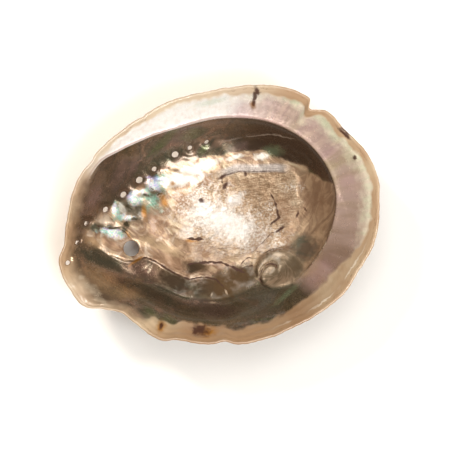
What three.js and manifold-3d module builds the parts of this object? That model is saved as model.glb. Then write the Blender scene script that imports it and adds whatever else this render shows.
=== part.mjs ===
// An abalone shell lying on its back, with its pearly inside up, in millimetres and degrees.
// +Z is up, out of the shell's mouth. +X runs along its length towards the spire end, and +Y
// towards the broad flat shelf that carries the row of breathing pores beside it. The shell is one
// piece: a shallow ear-shaped bowl with a coiled spire, ten pores and one drilled drain hole.
import * as THREE from "three";
import { mergeVertices } from "three/addons/utils/BufferGeometryUtils.js";
import Module from "manifold-3d";

// Driving dimensions. Directions turn anticlockwise from +X about the middle of the bowl, seen from
// above. Reach is the distance from that middle, and depth is measured down from the mouth.
const HALF_LENGTH = 80;
const HALF_WIDTH = 63.5;
const MIDDLE_DEPTH = 37.5;
const FLOOR_SLOPE = [0, -0.02];
const WALL_THICKNESS = 4;
const SHELF_EXTRA = 2; // how much thicker the shell is under the shelf's inner edge
const RIM_THICKNESS = 2.6;
const OUTER_CORNER_INSET = 1.2; // how far inside the rim the outer skin's last corner stays
const RIM_ROUNDING = 0.7;
const WORN_FOOT_DEPTH = 0.35;

// How far the rim stands out past its ellipse: [direction, swell]. It dips at the old break near
// 36 degrees, and the front end stands out as a blunt beak that drops away sharply at 200.
const RIM_SWELL = [
  [0, 0], [10, -0.6], [20, -2], [31, -0.2], [36.5, -3.4], [39, 1.4], [50, 2.9], [60, 2],
  [80, -0.3], [98, 0], [115, -1], [138, -0.3], [143, -1], [149, 0.1], [161, -0.8], [174, 0.3],
  [180, 4.8], [190, 5.2], [198, 4], [202, -1.5], [208, -5.9], [215, -4.9], [228, -1.1],
  [236, -3], [247, -1.7], [256, -2.3], [263, 0], [290, 0.6], [314, 1.5], [325, 0], [336, 0.6],
  [350, -0.7],
];

// Sections through the bowl: [direction, reach of the shelf's inner edge, depth of that edge below
// the rim, how sharp the edge is from 0 to 1, reach of the wall's foot, its depth]. The flat shelf
// runs from 140 degrees back to -60, where its edge turns into the coil; the rest is a plain bowl.
const SECTIONS = [
  [0, 58.6, 12, 1, 44, 29.5],
  [23, 57.7, 11, 1, 43, 29],
  [46, 54.2, 10.5, 1, 41, 29],
  [72, 50.6, 10, 1, 40, 28.5],
  [100, 50.4, 9, 1, 39.5, 28],
  [120, 56, 7.2, 1, 41.5, 27],
  [132, 62, 5.4, 1, 44, 26],
  [140, 67.4, 4.4, 0.6, 46.5, 25],
  [149, 70.2, 5, 0.1, 51, 23],
  [162, 71.5, 6.4, 0, 57.5, 20.5],
  [182, 76, 7, 0, 61, 19.5],
  [205, 62, 8, 0, 50, 25],
  [230, 57, 8, 0, 44, 28],
  [260, 53, 9, 0, 40, 30],
  [282, 53, 11, 0, 38, 31.5],
  [299, 49, 18.5, 0, 37, 32],
  [315, 50.2, 20, 0.4, 39, 32],
  [338, 54.8, 16, 0.9, 43, 31],
];

// The coil seen inside the spire end: a rope of shell that leaves the end of the shelf and winds
// inwards, turns in radians. On the back a low spire stands over it.
const COIL = { x: 18.2, y: -31.8, start: -15, reach: 9.6, flare: 7, tightness: 0.19, rope: 2.8 };
const COIL_TURNS = 9;
const SPIRE = { x: 20, y: -32, reach: 15, height: 3 };

// Breathing pores, oldest first: [x, y, radius, x and y shift of the outer mouth].
const PORES = [
  [2.1, 39.5, 1.2, 0, 0.4],
  [-6.9, 38.9, 1.4, 0, 0.4],
  [-15, 37.4, 1.8, 0, 0.6],
  [-27.1, 33, 1.5, -0.3, 0.6],
  [-35.8, 29.5, 1.9, -0.4, 0.6],
  [-45.5, 24.4, 1.8, -0.6, 0.6],
  [-56.1, 19.4, 1.8, -0.8, 0.6],
  [-67.1, 15.1, 1.7, -1.6, 0.6],
  [-73.9, 7.1, 1.6, -1.7, 0.3],
  [-81.4, -1.6, 1.3, -0.3, 0],
];
const DRAIN = { x: -48.9, y: -2.9, radius: 4 };

const GRID_CELLS = 40; // an even number of cells across each face of the shell
const EDGE_SHARE = 0.75; // the share of the grid's rings that lies inside the shelf's edge
const PORE_SIDES = 10;
const DRAIN_SIDES = 20;
const COIL_RINGS = 44;
const ROPE_SIDES = 8;

const radians = THREE.MathUtils.degToRad;

// A smooth closed curve through stations, each [direction, values...], read at one direction.
function around(stations, column, direction) {
  const turn = ((direction % 360) + 360) % 360;
  const count = stations.length;
  const after = stations.findIndex((station) => station[0] > turn);
  const next = after < 0 ? count : after;
  const at = (i) => {
    const station = stations[((i % count) + count) % count];
    return [station[0] + 360 * Math.floor(i / count), station[column]];
  };
  const [a0, v0] = at(next - 2);
  const [a1, v1] = at(next - 1);
  const [a2, v2] = at(next);
  const [a3, v3] = at(next + 1);
  const step = (turn - a1) / (a2 - a1);
  const rise1 = ((v2 - v0) / (a2 - a0)) * (a2 - a1);
  const rise2 = ((v3 - v1) / (a3 - a1)) * (a2 - a1);
  return hermite(v1, v2, rise1, rise2, step);
}

// A cubic from one value to the next with the given rises at its ends.
function hermite(from, to, riseFrom, riseTo, step) {
  const s2 = step * step;
  const s3 = s2 * step;
  return (
    from * (2 * s3 - 3 * s2 + 1) +
    riseFrom * (s3 - 2 * s2 + step) +
    to * (3 * s2 - 2 * s3) +
    riseTo * (s3 - s2)
  );
}

// A curve through knots [reach, depth, slope on its inner side, slope on its outer side].
function alongProfile(knots, reach) {
  let i = 1;
  while (i < knots.length - 1 && reach > knots[i][0]) i += 1;
  const [r0, d0, , leave] = knots[i - 1];
  const [r1, d1, arrive] = knots[i];
  const span = r1 - r0;
  return hermite(d0, d1, leave * span, arrive * span, (reach - r0) / span);
}

function rimReach(direction) {
  const t = radians(direction);
  const ellipse = 1 / Math.hypot(Math.cos(t) / HALF_LENGTH, Math.sin(t) / HALF_WIDTH);
  return ellipse + around(RIM_SWELL, 1, direction);
}

// The rim isn't level: its two ends stand higher than its sides.
const rimDepth = (direction) => 1.4 * (1 - Math.cos(2 * radians(direction - 20)));

// The slope at a knot between two chords, which keeps the curve from overshooting.
const between = (a, b) => (2 * a * b) / (a + b - 1e-9);

// The knots of the inside and outside profiles in one direction.
function profiles(direction) {
  const read = (column) => around(SECTIONS, column, direction);
  const t = radians(direction);
  const rim = [rimReach(direction), rimDepth(direction)];
  const edge = [read(1), read(2) + rim[1]];
  const foot = [read(4), read(5)];
  const chord = (p, q) => (q[1] - p[1]) / (q[0] - p[0]);
  const middleSlope = FLOOR_SLOPE[0] * Math.cos(t) + FLOOR_SLOPE[1] * Math.sin(t);
  const floor = chord([0, MIDDLE_DEPTH], foot);
  const wall = chord(foot, edge);
  const shelf = chord(edge, rim);
  const footSlope = between(Math.min(floor, -0.05), wall);
  const edgeSlope = between(wall, shelf);
  const sharp = Math.min(Math.max(read(3), 0), 1);
  const inside = [
    [0, MIDDLE_DEPTH, 0, middleSlope],
    [...foot, footSlope, footSlope],
    [...edge, mix(edgeSlope, 1.5 * wall, sharp), mix(edgeSlope, 0.7 * shelf, sharp)],
    [...rim, shelf, shelf],
  ];
  // The outside stands off the inside by the wall's thickness, square to the wall.
  const pushOut = ([reach, depth], slope, thickness) => {
    const length = Math.hypot(slope, 1);
    const pushed = reach - (thickness * slope) / length;
    return [Math.min(pushed, rim[0] - OUTER_CORNER_INSET), depth + thickness / length];
  };
  const corners = [
    [0, MIDDLE_DEPTH + WALL_THICKNESS],
    pushOut(foot, footSlope, WALL_THICKNESS),
    pushOut(edge, edgeSlope, WALL_THICKNESS + SHELF_EXTRA * sharp),
    [rim[0], rim[1] + RIM_THICKNESS],
  ];
  const chords = [0, 1, 2].map((i) => chord(corners[i], corners[i + 1]));
  const outside = [
    [...corners[0], 0, middleSlope],
    [...corners[1], between(Math.min(chords[0], -0.05), chords[1]), 0],
    [...corners[2], between(chords[1], chords[2]), 0],
    [...corners[3], chords[2], chords[2]],
  ];
  outside[1][3] = outside[1][2];
  outside[2][3] = outside[2][2];
  return { inside, outside, edgeReach: edge[0], rimReach: rim[0] };
}

function mix(a, b, share) {
  return a + (b - a) * share;
}

const spireHeight = (x, y) =>
  SPIRE.height * Math.exp(-(((x - SPIRE.x) ** 2 + (y - SPIRE.y) ** 2) / SPIRE.reach ** 2));

// One face of the shell as a square grid pulled into a disc, ring by ring: direction and share.
function gridPlace(column, row) {
  const a = (2 * column) / GRID_CELLS - 1;
  const b = (2 * row) / GRID_CELLS - 1;
  const share = Math.max(Math.abs(a), Math.abs(b));
  if (share === 0) return { direction: 0, share };
  const across = Math.abs(a) >= Math.abs(b);
  const turn = across ? (45 * b) / a + (a < 0 ? 180 : 0) : 90 - (45 * a) / b + (b < 0 ? 180 : 0);
  return { direction: turn, share };
}

// The two skins at one grid place.
function skins(column, row) {
  const { direction, share } = gridPlace(column, row);
  const { inside, outside, edgeReach, rimReach: rim } = profiles(direction);
  const reach =
    share <= EDGE_SHARE
      ? (edgeReach * share) / EDGE_SHARE
      : mix(edgeReach, rim, (share - EDGE_SHARE) / (1 - EDGE_SHARE));
  const x = reach * Math.cos(radians(direction));
  const y = reach * Math.sin(radians(direction));
  return {
    inner: [x, y, -alongProfile(inside, reach)],
    outer: [x, y, -alongProfile(outside, reach) - spireHeight(x, y)],
  };
}

// Both skins, joined round the rim by a strip with a rounded nose.
function shellGeometry() {
  const side = GRID_CELLS + 1;
  const places = Array.from({ length: side * side }, (_, i) => skins(i % side, Math.floor(i / side)));
  const points = [...places.map((p) => p.inner), ...places.map((p) => p.outer)];
  const faces = [];
  const quad = (a, b, c, d) => faces.push(a, b, c, a, c, d);
  for (let row = 0; row < GRID_CELLS; row += 1) {
    for (let column = 0; column < GRID_CELLS; column += 1) {
      const i = row * side + column;
      quad(i, i + 1, i + side + 1, i + side);
      const o = i + side * side;
      quad(o, o + side, o + side + 1, o + 1);
    }
  }
  const border = [];
  for (let i = 0; i < GRID_CELLS; i += 1) border.push(i);
  for (let i = 0; i < GRID_CELLS; i += 1) border.push(i * side + GRID_CELLS);
  for (let i = GRID_CELLS; i > 0; i -= 1) border.push(GRID_CELLS * side + i);
  for (let i = GRID_CELLS; i > 0; i -= 1) border.push(i * side);
  const nose = border.map((i) => {
    const { inner, outer } = places[i];
    const grow = 1 + RIM_ROUNDING / Math.hypot(inner[0], inner[1]);
    return points.push([inner[0] * grow, inner[1] * grow, (inner[2] + outer[2]) / 2]) - 1;
  });
  border.forEach((i, n) => {
    const m = (n + 1) % border.length;
    quad(i, nose[n], nose[m], border[m]);
    quad(nose[n], i + side * side, border[m] + side * side, nose[m]);
  });
  return indexed(points, faces);
}

function indexed(points, faces) {
  const geometry = new THREE.BufferGeometry();
  geometry.setAttribute("position", new THREE.Float32BufferAttribute(points.flat(), 3));
  geometry.setIndex(faces);
  return geometry;
}

// A round cutter from above the inside to below the back, leaning so that it passes both mouths.
function cutter(x, y, radius, shiftX, shiftY, sides) {
  const depth = insideDepthAt(x, y);
  const lean = new THREE.Vector3(-shiftX, -shiftY, WALL_THICKNESS * 1.5).normalize();
  const geometry = new THREE.CylinderGeometry(radius, radius, WALL_THICKNESS * 6, sides);
  geometry.applyQuaternion(
    new THREE.Quaternion().setFromUnitVectors(new THREE.Vector3(0, 1, 0), lean),
  );
  return geometry.translate(x, y, -depth);
}

// The coil as a tapering rope laid half sunk into the floor.
function coilGeometry() {
  const points = [];
  const faces = [];
  for (let ring = 0; ring <= COIL_RINGS; ring += 1) {
    const turn = (COIL_TURNS * ring) / COIL_RINGS;
    const flare = COIL.flare * Math.exp(-2.5 * turn);
    const reach = COIL.reach * Math.exp(-COIL.tightness * turn) + flare;
    const direction = radians(COIL.start) - turn;
    const x = COIL.x + reach * Math.cos(direction);
    const y = COIL.y + reach * Math.sin(direction);
    const z = -insideDepthAt(x, y);
    const thick = COIL.rope * Math.exp(-0.13 * turn) * Math.min(1, 0.3 + turn);
    for (let side = 0; side < ROPE_SIDES; side += 1) {
      const roll = (2 * Math.PI * side) / ROPE_SIDES;
      const out = thick * Math.cos(roll);
      points.push([
        x + out * Math.cos(direction),
        y + out * Math.sin(direction),
        z + thick * Math.sin(roll),
      ]);
      const here = ring * ROPE_SIDES + side;
      const beside = ring * ROPE_SIDES + ((side + 1) % ROPE_SIDES);
      if (ring === 0) continue;
      faces.push(here, here - ROPE_SIDES, beside - ROPE_SIDES);
      faces.push(here, beside - ROPE_SIDES, beside);
    }
  }
  for (let side = 1; side < ROPE_SIDES - 1; side += 1) {
    faces.push(0, side + 1, side);
    const last = COIL_RINGS * ROPE_SIDES;
    faces.push(last, last + side, last + side + 1);
  }
  return indexed(points, faces);
}

function insideDepthAt(x, y) {
  const direction = THREE.MathUtils.radToDeg(Math.atan2(y, x));
  return alongProfile(profiles(direction).inside, Math.hypot(x, y));
}

const wasm = await Module();
wasm.setup();

function solid(geometry) {
  const bare = geometry.clone();
  bare.deleteAttribute("normal");
  bare.deleteAttribute("uv");
  const merged = mergeVertices(bare, 1e-4);
  return new wasm.Manifold(
    new wasm.Mesh({
      numProp: 3,
      vertProperties: merged.attributes.position.array,
      triVerts: new Uint32Array(merged.index.array),
    }),
  );
}

function toGeometry(manifold) {
  const mesh = manifold.getMesh();
  const geometry = new THREE.BufferGeometry();
  geometry.setAttribute("position", new THREE.BufferAttribute(mesh.vertProperties, 3));
  geometry.setIndex(new THREE.BufferAttribute(mesh.triVerts, 1));
  geometry.computeVertexNormals();
  return geometry;
}

// Set down with its lowest point at 0, less what is worn away, and its middle at x = y = 0.
function setDown(geometry) {
  geometry.computeBoundingBox();
  const { min, max } = geometry.boundingBox;
  return geometry.translate(-(min.x + max.x) / 2, -(min.y + max.y) / 2, -min.z - WORN_FOOT_DEPTH);
}

let body = solid(shellGeometry()).add(solid(coilGeometry()));
for (const [x, y, radius, shiftX, shiftY] of PORES) {
  body = body.subtract(solid(cutter(x, y, radius, shiftX, shiftY, PORE_SIDES)));
}
body = body.subtract(solid(cutter(DRAIN.x, DRAIN.y, DRAIN.radius, 0, 0, DRAIN_SIDES)));

// The back is worn flat where it stands.
const standing = solid(setDown(toGeometry(body)));
const ground = new THREE.BoxGeometry(4 * HALF_LENGTH, 4 * HALF_LENGTH, 20).translate(0, 0, -10);

const nacre = new THREE.MeshStandardMaterial({ color: 0xcbb59a, roughness: 0.25, metalness: 0.3 });
const shell = new THREE.Mesh(toGeometry(standing.subtract(solid(ground))), nacre);
shell.name = "shell";

const abalone = new THREE.Group();
abalone.add(shell);

export default abalone;
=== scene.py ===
# %% [markdown]
# # An abalone shell, pearly side up
# An abalone's shell is one piece that the animal builds outwards for years. Inside it is nacre,
# thin layers that play with light; outside it is a dull, ribbed crust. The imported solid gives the
# frame and the size. This lesson grows a fine skin over the same form and paints it by formula.

# %% Load the frame
import math
import bpy
import numpy as np
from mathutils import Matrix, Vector


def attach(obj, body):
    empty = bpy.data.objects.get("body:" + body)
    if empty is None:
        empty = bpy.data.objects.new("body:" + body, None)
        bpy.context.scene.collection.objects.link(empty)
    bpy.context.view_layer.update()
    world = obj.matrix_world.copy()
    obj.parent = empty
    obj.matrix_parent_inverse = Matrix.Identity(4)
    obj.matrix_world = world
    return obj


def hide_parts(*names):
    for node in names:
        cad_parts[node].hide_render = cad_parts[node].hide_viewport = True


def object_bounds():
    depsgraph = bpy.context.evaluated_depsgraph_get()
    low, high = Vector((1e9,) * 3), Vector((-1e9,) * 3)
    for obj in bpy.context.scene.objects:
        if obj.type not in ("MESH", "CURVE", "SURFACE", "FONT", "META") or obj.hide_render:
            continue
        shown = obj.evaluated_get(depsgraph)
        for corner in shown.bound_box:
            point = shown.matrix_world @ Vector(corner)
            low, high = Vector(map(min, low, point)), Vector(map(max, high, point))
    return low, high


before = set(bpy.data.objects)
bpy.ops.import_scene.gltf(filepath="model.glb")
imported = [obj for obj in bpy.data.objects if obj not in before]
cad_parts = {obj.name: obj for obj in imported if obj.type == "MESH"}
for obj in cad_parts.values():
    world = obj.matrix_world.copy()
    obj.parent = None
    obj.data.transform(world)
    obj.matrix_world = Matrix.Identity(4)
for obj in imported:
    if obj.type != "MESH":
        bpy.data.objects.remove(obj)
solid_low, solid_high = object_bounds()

print("solid box, mm:", [round(1000 * v, 1) for v in (*solid_low, *solid_high)])

# %% [markdown]
# ## Smooth closed curves
# The outline and every cross-section change smoothly round the bowl. A natural way to hold such a
# form is a short list of stations, each a direction in degrees and some values, joined by cubics.
# Curves or a lattice could do it too, but stations can be read and changed one number at a time.

# %% Curves through stations
def hermite(start, end, rise_start, rise_end, t):
    """A cubic from start to end whose ends climb by the two rises."""
    t2, t3 = t * t, t * t * t
    bend = rise_start * (t3 - 2 * t2 + t) + rise_end * (t3 - t2)
    return start * (2 * t3 - 3 * t2 + 1) + end * (3 * t2 - 2 * t3) + bend


def around(stations, degrees):
    """The values of a closed curve at some directions, one row for each column after the first."""
    rows = np.array(stations, float)
    turn = np.zeros(rows.shape[1])
    turn[0] = 360
    rows = np.vstack([rows[-3:] - turn, rows, rows[:3] + turn])
    place = rows[:, 0]
    slope = np.zeros_like(rows)
    slope[1:-1] = (rows[2:] - rows[:-2]) / (place[2:] - place[:-2])[:, None]
    degrees = np.asarray(degrees, float) % 360
    i = np.searchsorted(place, degrees, side="right") - 1
    span = place[i + 1] - place[i]
    t = (degrees - place[i]) / span
    return hermite(rows[i].T, rows[i + 1].T, slope[i].T * span, slope[i + 1].T * span, t)[1:]


def fade(value, low, high):
    """0 below low, 1 above high, and a smooth climb between. Low may be the larger one."""
    t = np.clip((value - low) / (high - low), 0, 1)
    return t * t * (3 - 2 * t)


def window(value, start, full, fading, end):
    """1 between full and fading, 0 before the start and after the end."""
    return fade(value, start, full) * fade(value, end, fading)


def hump(distance, width):
    """A smooth bump of height 1 that dies out at about twice its width."""
    return np.exp(-((distance / width) ** 2))


# %% [markdown]
# Many places in plan are easier to give as a reach and a direction from a middle, or as steps
# along and across a line that leans. Three helpers turn one into the other, and a fourth raises a
# round mound at any place.

# %% Directions in plan
def heading(degrees):
    """A step of length 1 in some direction, as x and y."""
    t = np.radians(degrees)
    return np.stack([np.cos(t), np.sin(t)], -1)


def polar(px, py, middle=(0, 0)):
    """Reach from a middle, and direction from 0 to 360 degrees."""
    dx, dy = px - middle[0], py - middle[1]
    return np.hypot(dx, dy), np.degrees(np.arctan2(dy, dx)) % 360


def leaning(dx, dy, lean):
    """A step measured along and across a line that leans by some degrees."""
    c, s = math.cos(math.radians(lean)), math.sin(math.radians(lean))
    return dx * c + dy * s, -dx * s + dy * c


def mound(px, py, middle, width, flat=0.0):
    """A round hump that stays level out to the flat's reach."""
    return hump(np.maximum(polar(px, py, middle)[0] - flat, 0), width)


# %% [markdown]
# ## The outline
# Seen from above the rim is an egg-like oval, 166 mm long. Years of growing and breaking left it
# uneven: an old break, a blunt beak at the front end, scallops and chips. The oval carries a
# list of swells for the large shapes, and a little noise for the small ones.

# %% Rim outline
HALF_LENGTH, HALF_WIDTH = 80, 63.5
RIM_SWELL = [
    (0, 0), (10, -0.6), (20, -2), (31, -0.2), (36.5, -3.4), (39, 1.4), (50, 2.9), (60, 2),
    (80, -0.3), (98, 0), (115, -1), (138, -0.3), (143, -1), (149, 0.1), (161, -0.8), (174, 0.3),
    (180, 4.8), (190, 5.2), (198, 4), (202, -1.5), (208, -5.9), (215, -4.9), (228, -1.1),
    (236, -3), (247, -1.7), (256, -2.3), (263, 0), (290, 0.6), (314, 1.5), (325, 0), (336, 0.6),
    (350, -0.7),
]


def noise(x, y, seed):
    """Smooth noise between about -1 and 1, the same on every run."""
    cell_x, cell_y = np.floor(x), np.floor(y)
    dx, dy = x - cell_x, y - cell_y

    def corner(i, j):
        mixed = np.sin((cell_x + i) * 127.1 + (cell_y + j) * 311.7 + seed * 74.7) * 43758.5453
        angle = 2 * np.pi * (mixed - np.floor(mixed))
        return np.cos(angle) * (dx - i) + np.sin(angle) * (dy - j)

    u, v = (t * t * t * (t * (t * 6 - 15) + 10) for t in (dx, dy))
    low = corner(0, 0) * (1 - u) + corner(1, 0) * u
    high = corner(0, 1) * (1 - u) + corner(1, 1) * u
    return 1.5 * (low * (1 - v) + high * v)


def rim_reach(degrees):
    """How far the rim lies from the middle in some directions, in mm."""
    t = np.radians(degrees)
    oval = 1 / np.hypot(np.cos(t) / HALF_LENGTH, np.sin(t) / HALF_WIDTH)
    scallops = 0.35 * noise(9 * np.cos(t), 9 * np.sin(t), 1)
    nicks = 0.22 * noise(24 * np.cos(t), 24 * np.sin(t), 2)
    return oval + around(RIM_SWELL, degrees)[0] + scallops + nicks


rim_sample = rim_reach(np.arange(360.0))
print("rim reach, mm:", rim_sample.min().round(1), "to", rim_sample.max().round(1))

# %% [markdown]
# ## Cross-sections
# Cut in any direction, the inside runs from the floor up a wall to the inner edge of the shelf,
# and from there out to the rim. Where the shelf is, its edge is a sharp step. Elsewhere the wall
# just rolls out to the rim. Four knots joined by cubics give that section in every direction.

# %% Inside and outside sections
MIDDLE_DEPTH, FLOOR_SLOPE = 37.5, (0, -0.02)
RIM_SAG, RIM_CREST = 1.4, 20  # the rim is highest in this direction and in the opposite one
WALL_THICKNESS, SHELF_EXTRA, RIM_THICKNESS = 4, 2, 2.6
OUTER_CORNER_INSET = 1.2
STEEPER_WALL, FLATTER_SHELF = 1.5, 0.7  # slopes at a sharp edge, as shares of the chords
LEAST_FLOOR_SLOPE = -0.05
# direction, reach of the shelf's inner edge, its depth below the rim, its sharpness from 0 to 1,
# reach of the wall's foot, depth of the foot
SECTIONS = [
    (0, 58.6, 12, 1, 44, 29.5), (23, 57.7, 11, 1, 43, 29), (46, 54.2, 10.5, 1, 41, 29),
    (72, 50.6, 10, 1, 40, 28.5), (100, 50.4, 9, 1, 39.5, 28), (120, 56, 7.2, 1, 41.5, 27),
    (132, 62, 5.4, 1, 44, 26), (140, 67.4, 4.4, 0.6, 46.5, 25), (149, 70.2, 5, 0.1, 51, 23),
    (162, 71.5, 6.4, 0, 57.5, 20.5), (182, 76, 7, 0, 61, 19.5),
    (205, 62, 8, 0, 50, 25), (230, 57, 8, 0, 44, 28), (260, 53, 9, 0, 40, 30),
    (282, 53, 11, 0, 38, 31.5), (299, 49, 18.5, 0, 37, 32), (315, 50.2, 20, 0.4, 39, 32),
    (338, 54.8, 16, 0.9, 43, 31),
]


def along(knots, reach):
    """Depth at a reach on a curve through knots: reach, depth, slope before and slope after."""
    depth = np.zeros_like(reach)
    for (r0, d0, _, leave), (r1, d1, arrive, _) in zip(knots, knots[1:]):
        span = r1 - r0
        here = (reach >= r0) & (reach <= r1 + 1e-6)
        curve = hermite(d0, d1, leave * span, arrive * span, (reach - r0) / span)
        depth = np.where(here, curve, depth)
    return depth


def chord(a, b):
    """The slope from one knot straight to another."""
    return (b[1] - a[1]) / (b[0] - a[0])


def between(a, b):
    """A slope between two chords that keeps the curve from overshooting."""
    return 2 * a * b / (a + b - 1e-9)


def sections(degrees):
    """The inside knots, the outside knots, the shelf edge's reach and its sharpness."""
    edge_reach, edge_drop, sharp, foot_reach, foot_depth = around(SECTIONS, degrees)
    sharp = np.clip(sharp, 0, 1)
    t = np.radians(degrees)
    rim = (rim_reach(degrees), RIM_SAG * (1 - np.cos(2 * (t - np.radians(RIM_CREST)))))
    edge, foot = (edge_reach, edge_drop + rim[1]), (foot_reach, foot_depth)
    middle = (0 * t, MIDDLE_DEPTH + 0 * t)
    middle_slope = FLOOR_SLOPE[0] * np.cos(t) + FLOOR_SLOPE[1] * np.sin(t)
    floor, wall, shelf = chord(middle, foot), chord(foot, edge), chord(edge, rim)
    foot_slope = between(np.minimum(floor, LEAST_FLOOR_SLOPE), wall)
    edge_slope = between(wall, shelf)
    before = edge_slope + (STEEPER_WALL * wall - edge_slope) * sharp
    after = edge_slope + (FLATTER_SHELF * shelf - edge_slope) * sharp
    inside = [
        (*middle, 0, middle_slope),
        (*foot, foot_slope, foot_slope),
        (*edge, before, after),
        (*rim, shelf, shelf),
    ]

    def push_out(knot, slope, thickness):
        length = np.hypot(slope, 1)
        pushed = knot[0] - thickness * slope / length
        return np.minimum(pushed, rim[0] - OUTER_CORNER_INSET), knot[1] + thickness / length

    corners = [
        (middle[0], middle[1] + WALL_THICKNESS),
        push_out(foot, foot_slope, WALL_THICKNESS),
        push_out(edge, edge_slope, WALL_THICKNESS + SHELF_EXTRA * sharp),
        (rim[0], rim[1] + RIM_THICKNESS),
    ]
    c01, c12, c23 = (chord(a, b) for a, b in zip(corners, corners[1:]))
    low_slope = between(np.minimum(c01, LEAST_FLOOR_SLOPE), c12)
    high_slope = between(c12, c23)
    outside = [
        (*corners[0], 0, middle_slope),
        (*corners[1], low_slope, low_slope),
        (*corners[2], high_slope, high_slope),
        (*corners[3], c23, c23),
    ]
    return inside, outside, edge_reach, sharp


# %% [markdown]
# ## A grid for both skins
# A round dish meshed in rings bunches its faces at the middle. Pulling a square grid into the
# disc keeps them even. One ring of the grid is laid exactly on the shelf's edge, so that the step
# stays crisp, and both skins share the same plan, so that a pore is simply cut through both.

# %% Plan of the grid
CELLS = 208
EDGE_SHARE = 0.77  # share of the rings that lies inside the shelf's edge


def square_to_disc(cells):
    """Direction in degrees and share of the way out, for a square grid pulled into a disc."""
    a, b = np.meshgrid(np.linspace(-1, 1, cells + 1), np.linspace(-1, 1, cells + 1))
    share = np.maximum(abs(a), abs(b))
    safe_a, safe_b = np.where(a == 0, 1e-9, a), np.where(b == 0, 1e-9, b)
    sideways = 45 * b / safe_a + np.where(a < 0, 180, 0)
    upright = 90 - 45 * a / safe_b + np.where(b < 0, 180, 0)
    return np.where(abs(a) >= abs(b), sideways, upright).ravel() % 360, share.ravel()


direction, share = square_to_disc(CELLS)
edge_reach = sections(direction)[2]
rim_here = rim_reach(direction)
outward = (share - EDGE_SHARE) / (1 - EDGE_SHARE)
reach = np.where(
    share <= EDGE_SHARE,
    edge_reach * share / EDGE_SHARE,
    edge_reach + (rim_here - edge_reach) * outward,
)
plan = heading(direction) * reach[:, None]
grid = np.arange((CELLS + 1) ** 2).reshape(CELLS + 1, CELLS + 1)
cells = np.stack([grid[:-1, :-1], grid[:-1, 1:], grid[1:, 1:], grid[1:, :-1]], -1).reshape(-1, 4)
print("grid:", len(plan), "points,", len(cells), "cells on each skin")

# %% [markdown]
# ## Pores and the drain hole
# The animal breathes through a curved row of pores, opens a new one as it grows and seals the
# oldest. Someone also drilled one clean round hole. A Boolean would leave slivers in a skin this
# fine. It is neater to drop the grid cells inside each circle and slide the points round it on to it.

# %% Cut the holes in the plan
# x, y, half its length, half its width, and how far its outer mouth lies off in x and in y
PORES = [
    (2.1, 39.5, 1.3, 0.9, 0, 0.4), (-6.9, 38.9, 1.3, 1.1, 0, 0.4), (-15, 37.4, 1.8, 1.7, 0, 0.6),
    (-27.1, 33, 1.4, 1.3, -0.3, 0.6), (-35.8, 29.5, 1.9, 1.8, -0.4, 0.6),
    (-45.5, 24.4, 1.8, 1.6, -0.6, 0.6), (-56.1, 19.4, 1.7, 1.5, -0.8, 0.6),
    (-67.1, 15.1, 1.5, 1.2, -1.6, 0.6), (-73.9, 7.1, 1.5, 1.0, -1.7, 0.3),
    (-81.4, -1.6, 1.3, 1.0, -0.3, 0),
]
DRAIN = (-48.9, -2.9, 4, 4, 0, 0)
HOLES = PORES + [DRAIN]
ROW_LEAN = 28


def hole_distance(points, hole):
    """1 on the hole's edge, less inside it. Pores are ovals that lie along their row."""
    u, v = leaning(points[:, 0] - hole[0], points[:, 1] - hole[1], ROW_LEAN)
    return np.hypot(u / hole[2], v / hole[3])


kept = np.ones(len(cells), bool)
loops = []
for hole in HOLES:
    far = hole_distance(plan, hole)
    inside_cell = far[cells].mean(1) < 1
    kept &= ~inside_cell
    edges = {}
    for a, b, c, d in cells[inside_cell]:
        for edge in ((a, b), (b, c), (c, d), (d, a)):
            edges[edge] = edges.get(edge, 0) + 1
    border = {a: b for a, b in edges if (b, a) not in edges}
    loop = [next(iter(border))]
    while border[loop[-1]] != loop[0]:
        loop.append(border[loop[-1]])
    middle = np.array(hole[:2])
    plan[loop] = middle + (plan[loop] - middle) / far[loop][:, None]
    loops.append(np.array(loop))
print("holes:", len(loops), "with", [len(loop) for loop in loops], "points round each")

# %% [markdown]
# The points next to each hole are then evened out a little, with the hole's edge held still.

# %% Even out the grid near the holes
EVEN_REACH, EVEN_ROUNDS = 3, 6  # mm past the hole, times over
near = np.zeros(len(plan), bool)
for hole in HOLES:
    near |= np.hypot(*(plan - hole[:2]).T) < hole[2] + EVEN_REACH
on_edge = np.zeros(len(plan), bool)
on_edge[np.concatenate(loops)] = True
on_edge[np.concatenate([grid[0], grid[-1], grid[:, 0], grid[:, -1]])] = True
moving = np.flatnonzero(near & ~on_edge)
for _ in range(EVEN_ROUNDS):
    sides = [moving - 1, moving + 1, moving - CELLS - 1, moving + CELLS + 1]
    plan[moving] = 0.5 * plan[moving] + 0.5 * sum(plan[s] for s in sides) / 4
x, y = plan.T
reach, direction = polar(x, y)

# %% [markdown]
# ## How the shell grew
# An abalone keeps its shape as it grows: every old rim is the present one, shrunk towards the tip
# of the coil and turned about it. So each point has an age, how far back its rim was laid down,
# and a place along that rim. Growth lines, ribs and the drift of pearl colour all follow these two.

# %% Age and place of every point
TIP = np.array([18.8, -31.2])
TIGHTNESS = 0.347  # how fast the rim shrinks as one goes back through the coil
OLDEST, AGE_STEP = 12.0, 0.02


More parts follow.
